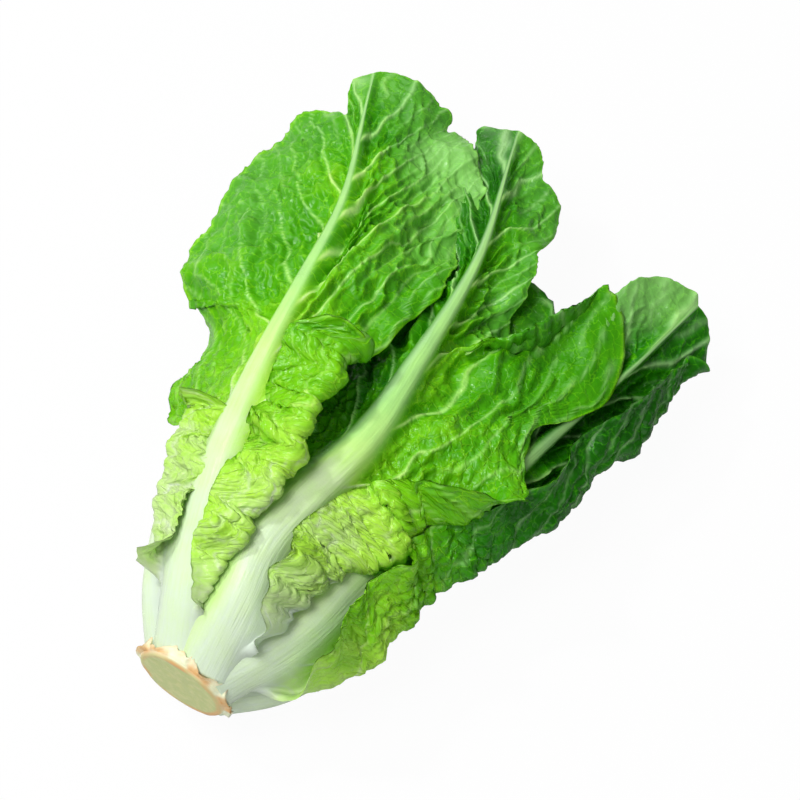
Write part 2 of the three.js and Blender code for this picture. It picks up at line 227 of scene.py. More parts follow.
@dataclass
class Leaf:
    """What every leaf has: its rib, its veins, its puckers and its tone.

    Pairs are left and right, and rows start at t, the place along the rib. veins is how many side veins
    a half has, and skew makes those on the right climb more. painted_sheen and painted_sheen_along say
    where a pale painted sheen lies. shade and low_shade move the tone of the leaf's upper and lower part:
    deeper is painted shade and lighter is painted light. vein_rise is the veins' slope. rib_half, rib_rise,
    rib_depth, pucker, swell and pleats are in mm. crisp is how crumpled the skin is. tone and rib_tone run
    from 0, white, to 1, deep green, and pale is how much lighter it is beside the rib. No point of the leaf
    is lower than floor, mm.
    """

    name: str
    seed: int
    rows: int
    cols: int
    veins: int = 10
    skew: float = 1.0
    # where a pale painted sheen lies, on the left and right half and along the rib
    painted_sheen: tuple[float, float] = (0.15, 0.15)
    painted_sheen_along: Knots = ((0, 0), (0.52, 0), (0.66, 1), (1, 1))
    # painted light and shade: tone added on the left and right, deeper as painted shade, lighter as painted
    # light
    shade: tuple[float, float] = (0.0, 0.0)
    low_shade: tuple[float, float] = (0.0, 0.0)
    vein_rise: Knots = ((0, 0.2), (0.35, 0.6), (0.5, 0.95), (0.7, 0.9), (0.85, 0.4), (1, 0))
    rib_half: Knots = (
        (0, 16), (0.08, 14), (0.2, 12), (0.35, 9), (0.5, 6.0), (0.65, 3.7), (0.8, 2.1), (1, 0.7),
    )
    rib_rise: Knots = ((0, 0.3), (0.1, 1.5), (0.3, 2.4), (0.5, 1.7), (0.7, 0.9), (0.9, 0.4), (1, 0.1))
    rib_depth: Knots = ((0, 4), (0.2, 4.5), (0.5, 2.4), (0.8, 0.9), (1, 0.2))
    pucker: Knots = (
        (0, 0), (0.1, 0.1), (0.16, 2.6), (0.38, 3.0), (0.46, 1.8), (0.55, 1.2), (0.8, 1.1), (1, 0.4),
    )
    crisp: Knots = ((0, 0), (0.09, 0), (0.15, 1), (0.42, 1), (0.54, 0.4), (1, 0.35))
    swell: Knots = (
        (0, 0), (0.1, 0.1), (0.2, 0.5), (0.42, 1.0), (0.5, 3.2), (0.7, 4.0), (0.88, 2.6), (1, 0.5),
    )
    pleats: Knots = (
        (0, 0), (0.12, 0), (0.2, 0.2), (0.42, 0.5), (0.5, 2.8), (0.7, 3.4), (0.85, 1.8), (1, 0.3),
    )
    tone: Knots = (
        (0, 0.02), (0.08, 0.1), (0.13, 0.24), (0.3, 0.42), (0.42, 0.59), (0.52, 0.68), (0.75, 0.72), (1, 0.8),
    )
    pale: Knots = ((0, 0.1), (0.3, 0.22), (0.5, 0.24), (0.7, 0.12), (1, 0.02))
    rib_tone: Knots = ((0, 0.02), (0.25, 0.11), (0.45, 0.27), (0.62, 0.49), (0.8, 0.55), (1, 0.58))
    floor: float = -1000.0

    def sheet(self) -> Sheet:
        """Gives the skin before its rib, veins and puckers."""
        raise NotImplementedError

    def dressed(self) -> "Skin":
        """Adds rib, veins and puckers to the skin.

        Returns:
            Both skins of the leaf, with its marks green, vein, crisp and painted_sheen at each point.
        """
        sheet = self.sheet()
        normals = sheet.normals()
        t, reach = sheet.t, np.abs(sheet.reach)
        x, y = sheet.flat_x, sheet.flat_y
        out = np.abs(x)

        def read(knots: Knots) -> Array:
            """Reads a row of knots at every point."""
            return along(knots, t.ravel())[:, 0].reshape(t.shape)

        # Side veins climb from the rib, with a fork between each two.
        rib = 1 - smooth((out / read(self.rib_half) - 0.3) / 0.8)
        wander = Ripple(self.seed).at(x / 22, y / 22) + 0.5 * Ripple(self.seed + 6).at(x / 8, y / 8)
        side = np.where(sheet.reach < 0, 0.37, 0.0)
        rise = read(self.vein_rise) * np.where(sheet.reach > 0, self.skew, 1.0)
        climb = rise * (out + 8 * (1 - np.exp(-out / 8)))
        count = self.veins * (t - climb / sheet.length) + side + 0.25 * wander * smooth(reach / 0.35)
        pace = sheet.length / self.veins * np.maximum(np.cos(sheet.lean), 0.3) / np.hypot(1, rise)
        from_vein = np.abs(count - np.round(count)) * pace
        from_fork = np.abs(count + 0.5 - np.round(count + 0.5)) * pace
        fine = 0.35 + 0.95 * np.exp(-out / 13)
        strong = 0.45 + 0.55 * np.exp(-out / 30)
        main_vein = np.exp(-((from_vein / fine) ** 2)) * strong
        fork = 0.4 * np.exp(-((from_fork / 0.5) ** 2)) * smooth((reach - 0.35) / 0.3)
        vein = np.maximum(main_vein, fork)

        # Blisters fill the fields between the veins.
        bend = Ripple(self.seed + 1)
        bx, by = bend.at(x / 9, y / 9), bend.at(y / 9 + 30, x / 9)
        coarse = Cells(self.seed + 2).dome(x / 6 + 0.4 * bx + 20, y / 6 + 0.4 * by)
        small = Cells(self.seed + 8).dome(x / 4 + 0.5 * by + 40, y / 4 + 0.5 * bx)
        off_rib = 1 - rib
        blade = smooth((out - 0.8 * read(self.rib_half)) / (0.4 * read(self.rib_half) + 3))
        flank = smooth((out / read(self.rib_half) - 0.55) / 0.5)
        dips = 1 - np.exp(-from_vein / 1.6)
        puff = dips * (0.78 * coarse + 0.22 * small)
        uneven = 0.8 + 0.7 * Ripple(self.seed + 3).at(x / 13, y / 13)

        # Pleats fan out beside the veins, over broad swells.
        fan = np.minimum(1, 2.2 * np.abs(Ripple(self.seed + 10).at(2.6 * count + 0.6 * bx + 30, out / 19)))
        crumple = Ripple(self.seed + 11).at(x / 5.5 + 0.7 * bx + 50, y / 6.5 + 0.7 * by)
        crease = np.minimum(1, 2.2 * np.abs(crumple))
        wave = Ripple(self.seed + 4).at(x / 23, y / 23) + 0.6 * Ripple(self.seed + 9).at(x / 11, y / 13)
        near = np.exp(-out / 38)
        calm = 1 - 0.45 * smooth((reach - 0.6) / 0.35) * smooth((t - CRUMPLED_END) / 0.1)
        long = np.minimum(1, 2.2 * np.abs(Ripple(self.seed + 12).at(1.5 * count + 0.4 * bx + 60, out / 45)))

        # The outer skin is lifted at ribs and veins and pressed in elsewhere, and the inner one follows it.
        lift = read(self.rib_rise) * rib + (0.25 + 0.9 * np.exp(-out / 22)) * vein * blade * smooth(t / 0.15)
        swells = wave * smooth(reach / 0.4) + 0.5 * crease * calm
        pleats = (0.2 + 0.8 * near) * fan * calm + 1.2 * long * (1 - smooth((reach - 0.55) / 0.4))
        folds = read(self.swell) * swells + read(self.pleats) * pleats
        lift = lift - blade * (read(self.pucker) * puff * uneven + folds)
        outer = sheet.points + normals * lift[..., None]
        wide_rib = 1 - smooth((out / read(self.rib_half) - 0.2) / 1.1)
        depth = BLADE * (1 - 0.6 * smooth((reach - 0.9) / 0.1)) + read(self.rib_depth) * wide_rib
        inner = outer - normals * depth[..., None]
        outer[..., 2] = np.maximum(outer[..., 2], self.floor)
        inner[..., 2] = np.maximum(inner[..., 2], self.floor + BLADE)

        # The tone deepens away from the rib and lightens along veins and pleats.
        grow = Ripple(self.seed + 5).at(x / 30, y / 30)
        tone = read(self.tone) + 0.06 * grow - read(self.pale) * np.exp(-out / 13)
        frill = smooth((reach - 0.45) / 0.3) * smooth((t - 0.03) / 0.06) * (1 - smooth((t - 0.14) / 0.1))
        # Painted light and shade: each side's tone is deepened where the leaf is to look shaded and lightened
        # where it is to look lit.
        upper = smooth((t - 0.3) / 0.15)
        shade = np.where(sheet.reach < 0, self.shade[0], self.shade[1]) * upper
        shade = shade + np.where(sheet.reach < 0, self.low_shade[0], self.low_shade[1]) * (1 - upper)
        # A thin paler line along the upper margins is a painted highlight on the leaf's edge.
        shade = shade - 0.16 * smooth((reach - 0.965) / 0.03) * smooth((t - CRUMPLED_END) / 0.08)
        # A positive low shade on the left deepens the rib's flank to yellow-green: painted shade where the
        # next leaf's fold shades it.
        painted_flank_shade = smooth((out / read(self.rib_half) - 0.1) / 0.4) * smooth(t / 0.12)
        rib_tone = read(self.rib_tone) + painted_flank_shade * np.where(sheet.reach < 0, max(self.low_shade[0], 0), 0)
        tone = (tone + 0.07 * frill + shade) * off_rib + rib_tone * rib
        pale_lines = (
            0.32 * vein * (1 - 0.5 * reach)
            + 0.1 * near * (1 - fan) ** 3
            + 0.08 * near * (1 - long) ** 3
            + 0.05 * (1 - crease) ** 3
        )
        green = tone - flank * pale_lines * smooth(t / 0.1)

        # A pale painted sheen lies over the outer part of each half.
        sides = np.where(sheet.reach < 0, self.painted_sheen[0], self.painted_sheen[1])
        painted_sheen = sides * smooth((reach - 0.25) / 0.5) * read(self.painted_sheen_along) * (0.75 + 0.5 * grow)
        marks = {
            "green": np.clip(green, 0, 1),
            "vein": np.clip(np.maximum(vein * flank, rib), 0, 1),
            "crisp": blade * calm * read(self.crisp),
            "painted_sheen": np.clip(painted_sheen, 0, 1),
        }
        return Skin(sheet, outer, inner, marks)


@dataclass
class Skin:
    """Both sides of a leaf as grids of points, with the leaf's marks at each point."""

    sheet: Sheet
    outer: Array
    inner: Array
    marks: dict[str, Array]

    def mesh(self, name: str) -> bpy.types.Mesh:
        """Makes the closed mesh of the leaf.

        Args:
            name: the mesh's name.

        Returns:
            A mesh in metres with the attributes green, vein, crisp and painted_sheen and the UV map Flat.
        """
        rows, cols = self.sheet.t.shape[0] - 1, self.sheet.t.shape[1] - 1
        bm = bmesh.new()
        spot = bm.verts.layers.int.new("spot")
        skin = bm.verts.layers.int.new("skin")
        grid = bmesh.ops.create_grid(bm, x_segments=cols, y_segments=rows, size=1.0)["verts"]
        place = {}
        for vert in grid:
            c = round((vert.co.x + 1) / 2 * cols)
            r = round((vert.co.y + 1) / 2 * rows)
            vert[spot] = r * (cols + 1) + c
            place[r, c] = vert
        if self.sheet.seam:
            pairs = {place[rows, c]: place[rows, cols - c] for c in range(cols // 2)}
            bmesh.ops.weld_verts(bm, targetmap=pairs)
        under = bm.faces[:]
        made = bmesh.ops.extrude_face_region(bm, geom=under, use_keep_orig=True)["geom"]
        for item in made:
            if isinstance(item, bmesh.types.BMVert):
                item[skin] = 1
        bmesh.ops.reverse_faces(bm, faces=under)
        for face in bm.faces:
            face.smooth = True
        mesh = bpy.data.meshes.new(name)
        bm.to_mesh(mesh)
        bm.free()
        self.settle(mesh)
        return mesh

    def settle(self, mesh: bpy.types.Mesh) -> None:
        """Moves the mesh's points to the two skins and writes its attributes and UV map.

        Args:
            mesh: a mesh whose attributes spot and skin say which point of which skin each of its own is.
        """
        count = len(mesh.vertices)
        spot, skin = np.empty(count, int), np.empty(count, int)
        mesh.attributes["spot"].data.foreach_get("value", spot)
        mesh.attributes["skin"].data.foreach_get("value", skin)
        outer, inner = self.outer.reshape(-1, 3)[spot], self.inner.reshape(-1, 3)[spot]
        points = to_world(np.where(skin[:, None] == 1, outer, inner))
        mesh.vertices.foreach_set("co", points.ravel())
        values_at = {label: grid.ravel()[spot] for label, grid in self.marks.items()}
        values_at["crisp"] = values_at["crisp"] * (1 - 2 * skin)
        for label, values in values_at.items():
            layer = mesh.attributes.new(label, "FLOAT", "POINT")
            layer.data.foreach_set("value", values.astype(np.float32))
        corners = np.empty(len(mesh.loops), int)
        mesh.loops.foreach_get("vertex_index", corners)
        flat = np.stack([self.sheet.flat_x.ravel(), self.sheet.flat_y.ravel()], 1)[spot][corners] / FLAT_UNIT
        mesh.uv_layers.new(name="Flat").data.foreach_set("uv", flat.astype(np.float32).ravel())
        mesh.attributes.remove(mesh.attributes["spot"])
        mesh.attributes.remove(mesh.attributes["skin"])
        mesh.update()


def to_world(points: Array) -> Array:
    """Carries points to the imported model's frame.

    Args:
        points: places in the head's own frame, mm.

    Returns:
        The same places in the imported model's frame, metres.
    """
    low, high = (np.array(corner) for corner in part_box("stem"))
    middle = (low + high) / 2
    start = np.array([middle[0], low[1], middle[2]])
    return points * MM + start - np.array([0, 0, AXIS_HEIGHT]) * MM


@dataclass
class SpreadLeaf(Leaf):
    """A big outer leaf: a rib along a spine, with a blade on each side."""

    spine: tuple[tuple[float, float, float], ...] = ()
    facing: Knots = ()
    left: Side | None = None
    right: Side | None = None

    def curve(self, t: Array) -> tuple[Array, float]:
        """Reads the spine at equal lengths.

        Args:
            t: shares of its length.

        Returns:
            The points, and the spine's length.
        """
        p = np.array(self.spine, float)
        p = np.vstack([2 * p[0] - p[1], p, 2 * p[-1] - p[-2]])
        fine_points = 401
        u = np.linspace(0, len(p) - 3, fine_points)
        i = np.minimum(u.astype(int), len(p) - 4)
        s = (u - i)[:, None]
        a, b, c, d = (p[i + k] for k in range(4))
        square, cube = (2 * a - 5 * b + 4 * c - d) * s**2, (3 * b - a - 3 * c + d) * s**3
        fine = 0.5 * (2 * b + (c - a) * s + square + cube)
        run = np.concatenate([[0], np.cumsum(np.linalg.norm(np.diff(fine, axis=0), axis=1))])
        return np.stack([np.interp(t * run[-1], run, fine[:, k]) for k in range(3)], 1), run[-1]

    def sheet(self) -> Sheet:
        """Lays the blade out from the rib, row by row.

        Returns:
            The leaf's skin, before its rib, veins and puckers.
        """
        t = np.linspace(0, 1, self.rows + 1)
        points, length = self.curve(t)
        step = 0.004
        tangent = unit(self.curve(np.clip(t + step, 0, 1))[0] - self.curve(np.clip(t - step, 0, 1))[0])
        turned = np.radians(along(self.facing, t)[:, 0])
        out = np.stack([np.sin(turned), 0 * turned, np.cos(turned)], 1)
        out = unit(out - (out * tangent).sum(1, keepdims=True) * tangent)
        across = np.cross(tangent, out)
        halves = []
        for sign, side in ((-1, self.left), (1, self.right)):
            halves.append(self.half(side, sign, t, length, points, tangent, out, across))
        joined = [np.concatenate([a[:, :0:-1], b], 1) for a, b in zip(*halves)]
        place, reach, flat_x, flat_y, lean = joined
        rows = np.repeat(t[:, None], place.shape[1], 1)
        return Sheet(place, rows, reach, flat_x, flat_y, lean, length, True)

    def half(self, side: Side, sign: int, t: Array, length: float, points: Array, tangent: Array, out: Array,
             across: Array) -> tuple[Array, ...]:
        """Lays out one side of the blade.

        Args:
            side: its stations.
            sign: -1 on the left, 1 on the right.
            t: the rows' places along the spine.
            length: the spine's length.
            points: the rib's points.
            tangent: the rib's direction.
            out: the outward direction at the rib.
            across: the direction to the right at the rib.

        Returns:
            Points, reach, flat x, flat y and lean, each with a column from the rib to the margin.
        """
        cols = self.cols
        noise = Ripple(self.seed + 7 + sign)
        nicks = 0.5 - 2 * np.abs(noise.at(t * length / 3.2, 0 * t + 9))
        teeth = 0.6 * noise.at(t * length / 5.5, 0 * t + 3) + 0.5 * nicks
        lobes = noise.at(t * length / 11, 0 * t + 15)
        fade = 1 - smooth((t - 0.94) / 0.06)
        ragged = along(side.teeth, t)[:, 0] * teeth + along(side.lobes, t)[:, 0] * lobes
        width = along(side.width, t)[:, 0] + fade * ragged
        near, further, droop, fold, at = (k[:, None] for k in along(side.turn, t).T)
        low, high = (np.radians(k[:, None]) for k in along(side.sweep, t).T)
        v = ((np.arange(cols) + 0.5) / cols)[None, :]
        flank = near + (further - near) * smooth(v / FLANK_END)
        turn = flank * (1 - np.exp(-v * width[:, None] / RIB_ROUND))
        turn = turn + droop * smooth((v - FLANK_END) / (1 - FLANK_END))
        turn = turn + fold * smooth((v - at) / FOLD_LENGTH + 0.5)
        along_mm = t[:, None] * length
        broad = noise.at(along_mm / 12 + 40 + 1.5 * v, v * 3)
        frill = broad + 0.6 * noise.at(along_mm / 6.5 + 10 - 2 * v, v * 4)
        turn = turn + along(side.ruffle, t) * frill * smooth((v - 0.35) / 0.65)
        turn, lean = np.radians(turn), low + (high - low) * smooth(v)
        ds = (width / cols)[:, None]
        sideways = np.cos(turn)[..., None] * (sign * across)[:, None] + np.sin(turn)[..., None] * out[:, None]
        move = np.cos(lean)[..., None] * sideways + np.sin(lean)[..., None] * tangent[:, None]
        zero = np.zeros((len(t), 1))
        moved = np.concatenate([zero[..., None] + np.zeros(3), np.cumsum(move * ds[..., None], 1)], 1)
        place = points[:, None] + moved
        reach = sign * np.concatenate([zero, np.cumsum(0 * v + zero + 1 / cols, 1)], 1)
        flat_x = sign * np.concatenate([zero, np.cumsum(np.cos(lean) * ds, 1)], 1)
        flat_y = along_mm + np.concatenate([zero, np.cumsum(np.sin(lean) * ds, 1)], 1)
        lean = np.concatenate([lean[:, :1], lean], 1)
        return place, reach, flat_x, flat_y, lean


@dataclass
class WrappedLeaf(Leaf):
    """A leaf wrapped round the head in its own layer, where layer 0 is the outermost of the wrapped leaves.

    turned is where its rib stands and half_turn how far each half reaches round, degrees. tip is where
    the leaf ends, and shoulder is how far its sides stop short of that. flare is how far its rim stands
    off, gap is the room between layers, and first is where the outermost leaf leaves the stem, all in
    mm. spread is how many times wider and higher than round the layer is at each y.
    """

    layer: float = 0.0
    turned: float = 0.0
    half_turn: float = 90.0
    tip: float = 240.0
    shoulder: float = 40.0
    flare: float = 6.0
    gap: float = 2.5
    first: float = 14.0
    stem_length: float = 74.0
    spread: Knots = (
        (0, 1, 1), (60, 1.05, 0.95), (100, 1.3, 0.8), (150, 1.55, 0.8), (217, 1.75, 0.7), (260, 1.8, 0.65),
    )
    stem_radius: Knots = ((0, 19), (10, 19.5), (30, 15), (55, 8), (74, 3))

    def sheet(self) -> Sheet:
        """Lays the leaf round the head.

        Returns:
            The leaf's skin, before its rib, veins and puckers.
        """
        pitch = (self.stem_length - self.first) / LAYERS
        start = self.first + pitch * max(self.layer, -1)
        cols = 2 * self.cols
        t = np.repeat(np.linspace(0, 1, self.rows + 1)[:, None], cols + 1, 1)
        side = np.repeat(np.linspace(-1, 1, cols + 1)[None, :], self.rows + 1, 0)
        noise = Ripple(self.seed + 7)
        edge = 2.2 * noise.at(side * 9 + 20, 0 * side) + 1.2 * noise.at(side * 24 + 20, 0 * side + 5)
        top = self.tip - self.shoulder * np.abs(side) ** 2.5 + edge
        y = start + (top - start) * t
        grown = np.clip((y - start) / pitch, 0, LAYERS - self.layer)
        stem = along(self.stem_radius, y.ravel())[:, 0].reshape(y.shape)
        radius = stem + 1.5 + self.gap * grown
        margin = smooth((np.abs(side) - 0.75) / 0.25)
        rim = np.maximum(smooth((t - 0.72) / 0.28), 0.6 * margin * smooth(t / 0.4))
        frill = noise.at(side * 5 + 7, y / 16) + 0.6 * noise.at(side * 11 + 7, y / 8 + 3)
        radius = radius + rim * (0.35 * self.flare + 0.4 * self.flare * frill * np.minimum(1, radius / 20))
        angle = np.radians(self.turned + side * self.half_turn * (0.5 + 0.5 * smooth(t / 0.3)))
        wide, high = along(self.spread, y.ravel()).T.reshape(2, *y.shape)
        points = np.stack([radius * wide * np.sin(angle), y, AXIS_HEIGHT + radius * high * np.cos(angle)], -1)
        flat_x = side * np.radians(self.half_turn) * radius * (wide + high) / 2
        return Sheet(points, t, side, flat_x, y, 0.7 + 0 * y, self.tip - start, False)


class Wire:
    """A shader value that takes part in Python expressions."""

    def __init__(self, nodes: "Nodes", socket: bpy.types.NodeSocket) -> None:
        """Holds a socket of a node tree."""
        self.nodes = nodes
        self.socket = socket

    def math(self, operation: str, *values: "Wire | float") -> "Wire":
        """Adds a Math node.

        Args:
            operation: the node's operation.
            values: its inputs.

        Returns:
            The node's result.
        """
        return self.nodes.add("ShaderNodeMath", {"operation": operation}, dict(enumerate(values)))

    def __add__(self, other: "Wire | float") -> "Wire":
        """Adds."""
        return self.math("ADD", self, other)

    def __radd__(self, other: float) -> "Wire":
        """Adds, number first."""
        return self.math("ADD", other, self)

    def __sub__(self, other: "Wire | float") -> "Wire":
        """Subtracts."""
        return self.math("SUBTRACT", self, other)

    def __rsub__(self, other: float) -> "Wire":
        """Subtracts from a number."""
        return self.math("SUBTRACT", other, self)

    def __mul__(self, other: "Wire | float") -> "Wire":
        """Multiplies."""
        return self.math("MULTIPLY", self, other)

    def __rmul__(self, other: float) -> "Wire":
        """Multiplies, number first."""
        return self.math("MULTIPLY", other, self)

    def clamped(self) -> "Wire":
        """Keeps the value within 0 and 1."""
        return self.math("MINIMUM", self.math("MAXIMUM", self, 0.0), 1.0)


class Nodes:
    """A material's or a surround's node tree under construction."""

    def __init__(self, owner: bpy.types.Material | bpy.types.World) -> None:
        """Empties a node tree.

        Args:
            owner: the new material or surround.
        """
        owner.use_nodes = True
        self.owner = owner
        self.tree = owner.node_tree
        self.tree.nodes.clear()

    def add(self, kind: str, settings: dict, inputs: dict, output: int | str = 0) -> Wire | None:
        """Adds a node.

        Args:
            kind: the node's type.
            settings: its properties, and under "stops" a ramp's (place, colour) pairs.
            inputs: values or wires by socket name or number.
            output: the socket to hand back.

        Returns:
            The node's output, or None where it has none.
        """
        node = self.tree.nodes.new(kind)
        for key, value in settings.items():
            if key == "stops":
                self.ramp(node, value)
            else:
                setattr(node, key, value)
        for key, value in inputs.items():
            if isinstance(value, Wire):
                self.tree.links.new(value.socket, node.inputs[key])
            else:
                node.inputs[key].default_value = value
        return Wire(self, node.outputs[output]) if node.outputs else None

    @staticmethod
    def ramp(node: bpy.types.Node, stops: tuple) -> None:
        """Sets a colour ramp's stops.

        Args:
            node: the ramp.
            stops: its (place, colour) pairs, in rising place.
        """
        elements = node.color_ramp.elements
        while len(elements) < len(stops):
            elements.new(0.5)
        for element, (place, colour) in zip(elements, stops):
            element.position = place
            element.color = (*colour, 1.0)

    def mix(self, share: Wire | float, a: object, b: object) -> Wire:
        """Mixes two colours.

        Args:
            share: how much of the second.
            a: first colour, as a wire or four numbers.
            b: second colour.

        Returns:
            The mixed colour.
        """
        return self.add("ShaderNodeMix", {"data_type": "RGBA"}, {0: share, 6: a, 7: b}, 2)

    def noise(self, place: Wire, scale: float, detail: float = 3.0) -> Wire:
        """Adds a noise texture and gives its height, 0 to 1."""
        return self.add("ShaderNodeTexNoise", {}, {"Vector": place, "Scale": scale, "Detail": detail}, 0)

    def finish(self, surface: Wire) -> bpy.types.Material:
        """Ends a material with its surface."""
        self.add("ShaderNodeOutputMaterial", {}, {"Surface": surface})
        return self.owner


@dataclass(frozen=True)
class LeafFinish:
    """A leaf's colours, from white rib to deep green blade, with its veins, its glow and a pale painted
    sheen.

    shift moves every tone towards deep green, and cool says how much of cool_tint is mixed in.
    """

    name: str
    shift: float = 0.0
    cool: float = 0.0
    rib_tint: Colour = (0.68, 0.88, 0.53, 1.0)
    # colour of the pale painted sheen
    painted_sheen_tint: Colour = (0.42, 0.85, 0.24, 1.0)
    cool_tint: Colour = (0.038, 0.256, 0.09, 1.0)
    glow_tint: Colour = (0.50, 0.88, 0.025, 1.0)
    stops: tuple[tuple[float, tuple[float, float, float]], ...] = (
        (0.0, (0.66, 0.73, 0.66)),
        (0.12, (0.63, 0.78, 0.40)),
        (0.3, (0.48, 0.86, 0.07)),
        (0.46, (0.23, 0.67, 0.008)),
        (0.62, (0.085, 0.43, 0.003)),
        (0.8, (0.02, 0.23, 0.001)),
        (1.0, (0.004, 0.077, 0.001)),
    )

    def material(self) -> bpy.types.Material:
        """Makes the material.

        Returns:
            The finish as a material.
        """
        n = Nodes(bpy.data.materials.new(self.name))
        green = n.add("ShaderNodeAttribute", {"attribute_name": "green"}, {}, "Fac")
        vein = n.add("ShaderNodeAttribute", {"attribute_name": "vein"}, {}, "Fac")
        flat = n.add("ShaderNodeUVMap", {"uv_map": "Flat"}, {}, 0)
        cloud = n.noise(flat, 9.0, 4.0)
        grain = n.noise(flat, 120.0, 3.0)
        bent = n.add("ShaderNodeTexNoise", {}, {"Vector": flat, "Scale": 22.0, "Detail": 2.0}, 1)
        wander = n.add(
            "ShaderNodeVectorMath", {"operation": "MULTIPLY_ADD"}, {0: bent, 1: (0.06,) * 3, 2: flat}
        )
        lace = n.add(
            "ShaderNodeTexVoronoi", {"feature": "DISTANCE_TO_EDGE"}, {"Vector": wander, "Scale": 17.0}
        )
        line = 1.0 - (lace * 20.0).clamped()
        off_rib = 1.0 - vein
        tone = green + (cloud - 0.5) * 0.22 + (grain - 0.5) * 0.05 + self.shift
        long = n.add("ShaderNodeVectorMath", {"operation": "MULTIPLY"}, {0: flat, 1: (1.0, 0.06, 1.0)})
        strand = n.noise(long, 90.0, 3.0)
        tone = (tone - line * off_rib * cloud * green * 0.4 + (strand - 0.5) * vein * 0.14).clamped()
        colour = n.add("ShaderNodeValToRGB", {"stops": self.stops}, {"Fac": tone}, 0)
        minty = n.mix(vein * 0.4, colour, self.rib_tint)
        # A pale painted sheen is mixed into the colour where the leaf's sheen mark is high.
        painted_sheen = n.add("ShaderNodeAttribute", {"attribute_name": "painted_sheen"}, {}, "Fac")
        minty = n.mix(painted_sheen * (0.35 + cloud * 0.4), minty, self.painted_sheen_tint)
        bluish = n.mix(self.cool, minty, self.cool_tint)
        crisp = n.add("ShaderNodeAttribute", {"attribute_name": "crisp"}, {}, "Fac")
        rough = 0.13 + grain * 0.12 + cloud * 0.12
        cell = n.add(
            "ShaderNodeTexVoronoi",
            {"feature": "SMOOTH_F1"},
            {"Vector": wander, "Scale": 26.0, "Smoothness": 0.3},
        )
        crumple = n.noise(flat, 30.0, 2.0)
        bumps = crisp * (cell * cell * 1.5 - crumple * 0.4 - line * 0.2) + grain * 0.05 + strand * vein * 0.35
        bump = n.add("ShaderNodeBump", {}, {"Strength": 0.9, "Distance": 0.0011, "Height": bumps})
        skin = n.add(
            "ShaderNodeBsdfPrincipled",
            {},
            {"Base Color": bluish, "Roughness": rough, "Normal": bump, "IOR": 1.34},
        )
        glow = n.mix(0.4, bluish, self.glow_tint)
        through = n.add("ShaderNodeBsdfTranslucent", {}, {"Color": glow, "Normal": bump})
        share = (0.22 - vein * 0.14).clamped()
        return n.finish(n.add("ShaderNodeMixShader", {}, {0: share, 1: skin, 2: through}))


@dataclass(frozen=True)
class StemFinish:
    """The stem's pale flesh: yellower where it is sliced, browned at the slice's rim and along the scars.

    The sliced face is also darker than the flesh, which is painted shade.
    """

    name: str = "stem_flesh"
    side: Colour = (0.84, 0.88, 0.62, 1.0)
    # yellower cut flesh, and darker than the side flesh as painted shade
    cut: Colour = (0.52, 0.58, 0.22, 1.0)
    mottle: Colour = (0.85, 0.75, 0.40, 1.0)
    rust: Colour = (0.72, 0.40, 0.14, 1.0)

    def material(self) -> bpy.types.Material:
        """Makes the material.

        Returns:
            The finish as a material.
        """
        n = Nodes(bpy.data.materials.new(self.name))
        place = n.add("ShaderNodeTexCoord", {}, {}, "Object")
        brown = n.add("ShaderNodeAttribute", {"attribute_name": "brown"}, {}, "Fac")
        sliced = n.add("ShaderNodeAttribute", {"attribute_name": "sliced"}, {}, "Fac")
        cloud = n.noise(place, 260.0, 4.0)
        grain = n.noise(place, 1400.0, 3.0)
        # The sliced face takes the cut colour, yellower as cut flesh and darker as painted shade.
        flesh = n.mix(sliced, self.side, self.cut)
        mottled = n.mix(((cloud - 0.45) * 1.4).clamped(), flesh, self.mottle)
        stained = n.mix((brown * (0.55 + cloud * 0.9)).clamped(), mottled, self.rust)
        bump = n.add("ShaderNodeBump", {}, {"Strength": 0.4, "Distance": 0.0005, "Height": grain + cloud})
        skin = n.add(
            "ShaderNodeBsdfPrincipled",
            {},
            {
                "Base Color": stained,
                "Roughness": 0.45 + grain * 0.15,
                "Normal": bump,
                "Subsurface Weight": 0.15,
                "Subsurface Radius": (0.004, 0.003, 0.0015),
            },
        )
        return n.finish(skin)


class Slot(Enum):
    """The names of the record's material slots, which the materials made for the pieces share."""

    STEM = "stem_flesh"
    OUTER = "outer_leaf"
    UNDER = "under_leaf"
    WRAPPED = "wrapped_leaf"
    HEART = "heart_leaf"


def add_piece(name: str, mesh: bpy.types.Mesh, material: bpy.types.Material, node: str) -> None:
    """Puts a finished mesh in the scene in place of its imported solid.

    Args:
        name: the piece's name.
        mesh: its mesh, in place.
        material: its material.
        node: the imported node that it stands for.
    """
    mesh.materials.append(material)
    piece = bpy.data.objects.new(name, mesh)
    bpy.context.scene.collection.objects.link(piece)
    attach(piece, "root")
    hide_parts(node)
    LOG.info("%s: %d faces", name, len(mesh.polygons))


